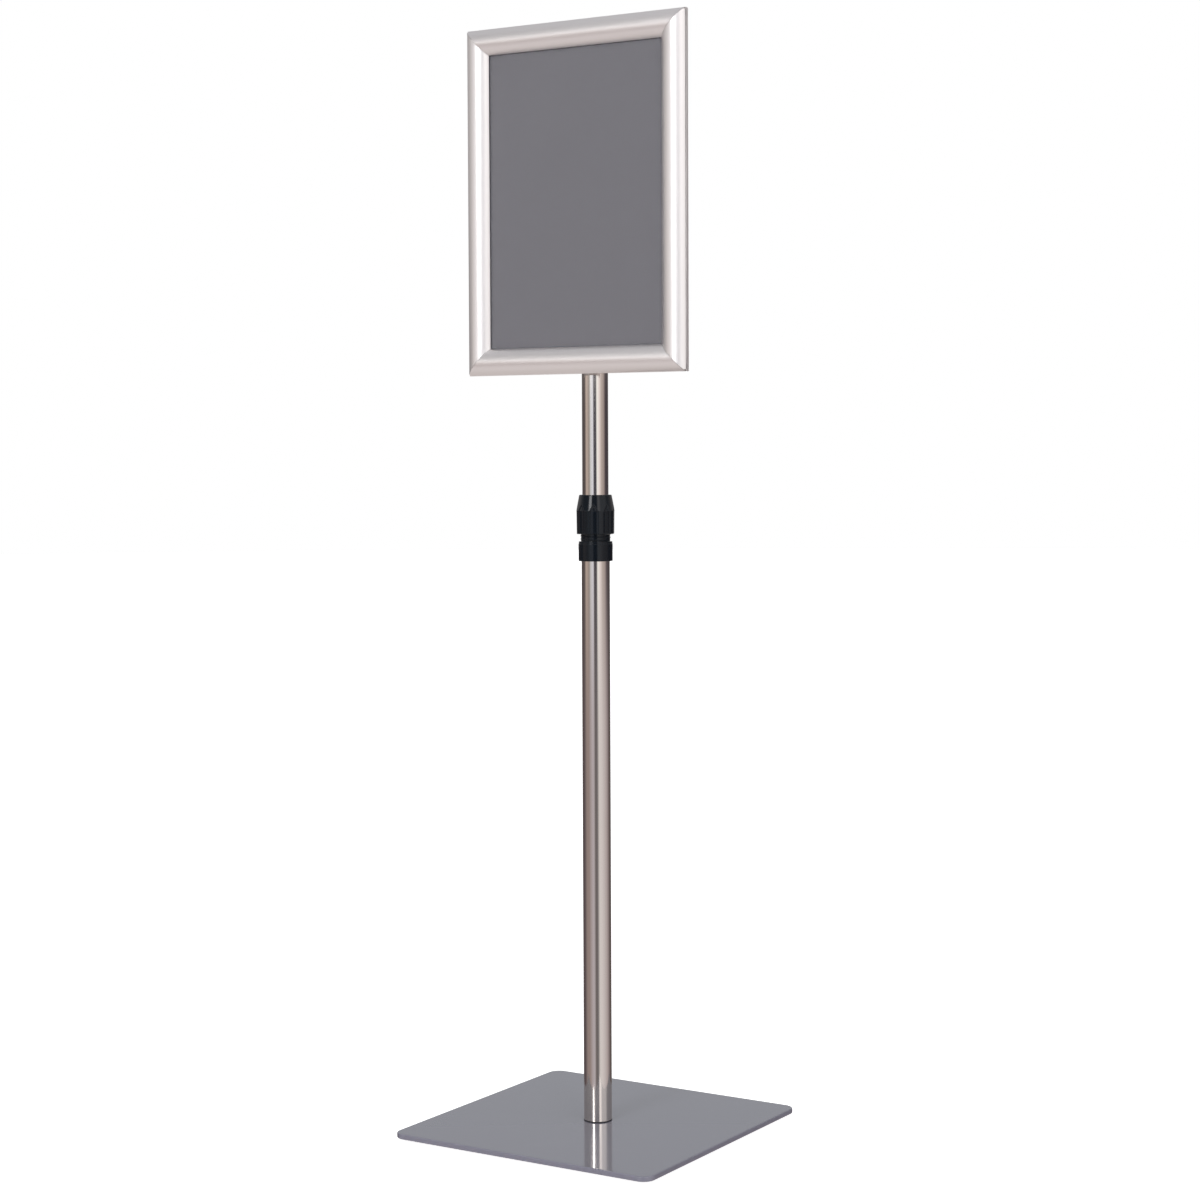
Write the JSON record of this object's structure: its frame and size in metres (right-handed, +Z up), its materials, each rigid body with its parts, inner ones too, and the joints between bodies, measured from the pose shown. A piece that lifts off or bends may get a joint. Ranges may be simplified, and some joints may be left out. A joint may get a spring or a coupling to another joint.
{
  "type": "sign stand",
  "caption": "Floor-standing sign holder: square weighted base, telescopic round pole with a twist lock, and a tilting, rotating snap frame for one portrait or landscape sheet.",
  "frame": {"origin": "on the floor, under the pole's axis, at the centre of the square base", "axes": "+Z up along the pole, -Y out of the sign's face, +X to the viewer's right"},
  "size_m": [0.28, 0.28, 1.043],
  "materials": {
    "grey_coat": "semi-gloss cool grey coating",
    "stainless": "polished stainless tube with a fine lengthwise grain",
    "zinc_steel": "zinc-plated steel",
    "spring_steel": "blued spring steel",
    "satin_aluminium": "satin anodised, warm silver",
    "black_plastic": "moulded gloss black",
    "black_rubber": "matt black",
    "grey_panel": "matt dark grey with a fine texture",
    "clear_sheet": "clear anti-glare sheet"
  },
  "bodies": {
    "base": {"base_plate": "grey_coat", "foot_pad_1": "black_rubber", "foot_pad_2": "black_rubber", "foot_pad_3": "black_rubber", "foot_pad_4": "black_rubber", "base_bolt": "zinc_steel", "base_gasket": "black_rubber", "tube_foot_insert": "zinc_steel", "lower_tube": "stainless", "lock_collar": "black_plastic"},
    "lock_ring": {"clamp_ring": "black_plastic"},
    "lock_nut": {"twist_nut": "black_plastic"},
    "slider": {"guide_bush": "black_plastic"},
    "mast": {"upper_tube": "stainless", "head_plug": "black_plastic"},
    "tilt_head": {"tilt_fork": "zinc_steel", "tilt_bolt": "zinc_steel", "tilt_washer": "zinc_steel", "swivel_washer": "black_plastic"},
    "knob": {"tilt_knob": "black_plastic"},
    "frame": {"swivel_bolt": "zinc_steel", "swivel_nut": "zinc_steel", "back_strap": "zinc_steel", "swivel_disc": "zinc_steel", "disc_rivet_1": "zinc_steel", "disc_rivet_2": "zinc_steel", "disc_rivet_3": "zinc_steel", "disc_rivet_4": "zinc_steel", "strap_screw_1": "zinc_steel", "strap_screw_2": "zinc_steel", "strap_screw_3": "zinc_steel", "strap_screw_4": "zinc_steel", "rail_bottom": "satin_aluminium", "rail_right": "satin_aluminium", "rail_top": "satin_aluminium", "rail_left": "satin_aluminium", "corner_key_1": "zinc_steel", "corner_key_2": "zinc_steel", "corner_key_3": "zinc_steel", "corner_key_4": "zinc_steel", "back_panel": "grey_panel", "clear_sheet": "clear_sheet", "leaf_spring_bottom_1": "spring_steel", "leaf_spring_bottom_2": "spring_steel", "leaf_spring_right_1": "spring_steel", "leaf_spring_right_2": "spring_steel", "leaf_spring_top_1": "spring_steel", "leaf_spring_top_2": "spring_steel", "leaf_spring_left_1": "spring_steel", "leaf_spring_left_2": "spring_steel"},
    "cover_top_body": {"cover_top": "satin_aluminium"},
    "cover_bottom_body": {"cover_bottom": "satin_aluminium"},
    "cover_left_body": {"cover_left": "satin_aluminium"},
    "cover_right_body": {"cover_right": "satin_aluminium"}
  },
  "joints": [
    {"name": "height_slide", "type": "slide", "parent": "base", "child": "slider", "axis": [0, 0, 1], "range_m": [-0.24, 0.235]},
    {"name": "mast_swivel", "type": "hinge", "parent": "slider", "child": "mast", "pos_m": [0, 0, 0.5], "axis": [0, 0, 1], "continuous": true},
    {"name": "frame_tilt", "type": "hinge", "parent": "mast", "child": "tilt_head", "pos_m": [0, 0, 0.8795], "axis": [-1, 0, 0], "range_deg": [0, 90]},
    {"name": "knob_turn", "type": "hinge", "parent": "tilt_head", "child": "knob", "pos_m": [0.015, 0, 0.8795], "axis": [1, 0, 0], "range_deg": [0, 360]},
    {"name": "frame_swivel", "type": "hinge", "parent": "tilt_head", "child": "frame", "pos_m": [0, -0.03, 0.8795], "axis": [0, 1, 0], "range_deg": [0, 90]},
    {"name": "lock_lift", "type": "slide", "parent": "base", "child": "lock_ring", "axis": [0, 0, 1], "range_m": [0, 0.0045]},
    {"name": "lock_turn", "type": "hinge", "parent": "lock_ring", "child": "lock_nut", "pos_m": [0, 0, 0.585], "axis": [0, 0, 1], "range_deg": [0, 540]},
    {"name": "cover_bottom_hinge", "type": "hinge", "parent": "frame", "child": "cover_bottom_body", "pos_m": [0, -0.0352, 0.7176], "axis": [1, 0, 0], "range_deg": [0, 90]},
    {"name": "cover_top_hinge", "type": "hinge", "parent": "frame", "child": "cover_top_body", "pos_m": [0, -0.0352, 1.0414], "axis": [-1, 0, 0], "range_deg": [0, 90]},
    {"name": "cover_right_hinge", "type": "hinge", "parent": "frame", "child": "cover_right_body", "pos_m": [0.1184, -0.0352, 0.8795], "axis": [0, 0, 1], "range_deg": [0, 90]},
    {"name": "cover_left_hinge", "type": "hinge", "parent": "frame", "child": "cover_left_body", "pos_m": [-0.1184, -0.0352, 0.8795], "axis": [0, 0, -1], "range_deg": [0, 90]}
  ],
  "couplings": [
    {"joint": "lock_turn", "follows": "lock_lift", "rad_per_m": 2094.4}
  ]
}
